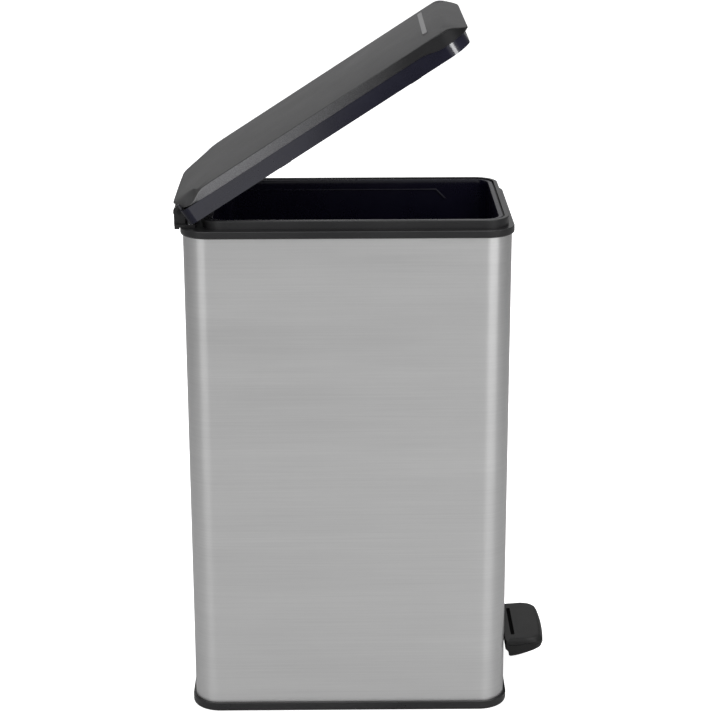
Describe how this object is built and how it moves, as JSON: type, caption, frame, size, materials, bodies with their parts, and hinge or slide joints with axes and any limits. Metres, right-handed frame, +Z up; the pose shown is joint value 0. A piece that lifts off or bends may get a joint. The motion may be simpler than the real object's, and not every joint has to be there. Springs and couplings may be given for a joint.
{
  "type": "pedal trash can",
  "caption": "Tall rounded-rectangle step bin: brushed steel shell on a dark tray, rim and inner bucket, hinged lid raised by a front foot pedal.",
  "frame": {"origin": "middle of the base tray's underside, on the floor", "axes": "+Z up, -Y towards the pedal (front), +X across the width"},
  "size_m": [0.262, 0.4711, 0.8769],
  "materials": {
    "brushed_steel": "brushed along the body, satin",
    "body_plastic": "fine satin moulding",
    "cover_plastic": "fine spark texture, matte",
    "liner_plastic": "polished moulding",
    "bucket_plastic": "smooth moulding",
    "pedal_plastic": "satin moulding",
    "inlay": "satin",
    "rubber": "matte",
    "zinc": "zinc plated",
    "pin_steel": "bright turned",
    "spring_steel": "drawn wire",
    "nylon": "natural nylon"
  },
  "bodies": {
    "can": {"base_tray": "body_plastic", "rubber_feet": "rubber", "outer_shell": "brushed_steel", "slot_bezel": "body_plastic", "rim": "body_plastic", "inner_bucket": "bucket_plastic", "hinge_screws": "zinc", "rod_guides": "nylon", "pivot_bracket": "zinc", "pivot_pin": "pin_steel", "pivot_clips": "spring_steel", "bracket_screws": "zinc", "lever_spring": "spring_steel", "hinge_bracket_left": "body_plastic", "hinge_bracket_right": "body_plastic", "hinge_pin_left": "pin_steel", "hinge_pin_right": "pin_steel", "lid_damper_left": "body_plastic", "lid_damper_right": "body_plastic"},
    "lid": {"lid_liner": "liner_plastic", "lid_cover": "cover_plastic", "lid_inlay": "inlay", "lift_striker": "zinc", "lid_buffers": "rubber", "lid_screws": "zinc"},
    "pedal_lever": {"lever_arm": "zinc", "lever_bush": "nylon", "rod_pin": "pin_steel", "pedal_cover": "pedal_plastic", "pedal_plate": "pedal_plastic", "pedal_screws": "zinc"},
    "push_rod": {"rod_foot": "nylon", "push_rod": "zinc", "rod_cap": "nylon"}
  },
  "joints": [
    {"name": "lid_hinge", "type": "hinge", "parent": "can", "child": "lid", "pos_m": [0, 0.203, 0.654], "axis": [-1, 0, 0], "range_deg": [-32.8, 42.2]},
    {"name": "pedal_pivot", "type": "hinge", "parent": "can", "child": "pedal_lever", "pos_m": [0, 0.04, 0.05], "axis": [1, 0, 0], "range_deg": [-4.3, 5.5], "deforming": ["lever_spring"]},
    {"name": "push_rod_slide", "type": "slide", "parent": "can", "child": "push_rod", "axis": [0, 0, 1], "range_m": [-0.0109, 0.0139]}
  ],
  "couplings": [
    {"joint": "pedal_pivot", "follows": "lid_hinge", "ratio": 0.1287},
    {"joint": "push_rod_slide", "follows": "lid_hinge", "m_per_rad": 0.018662}
  ]
}
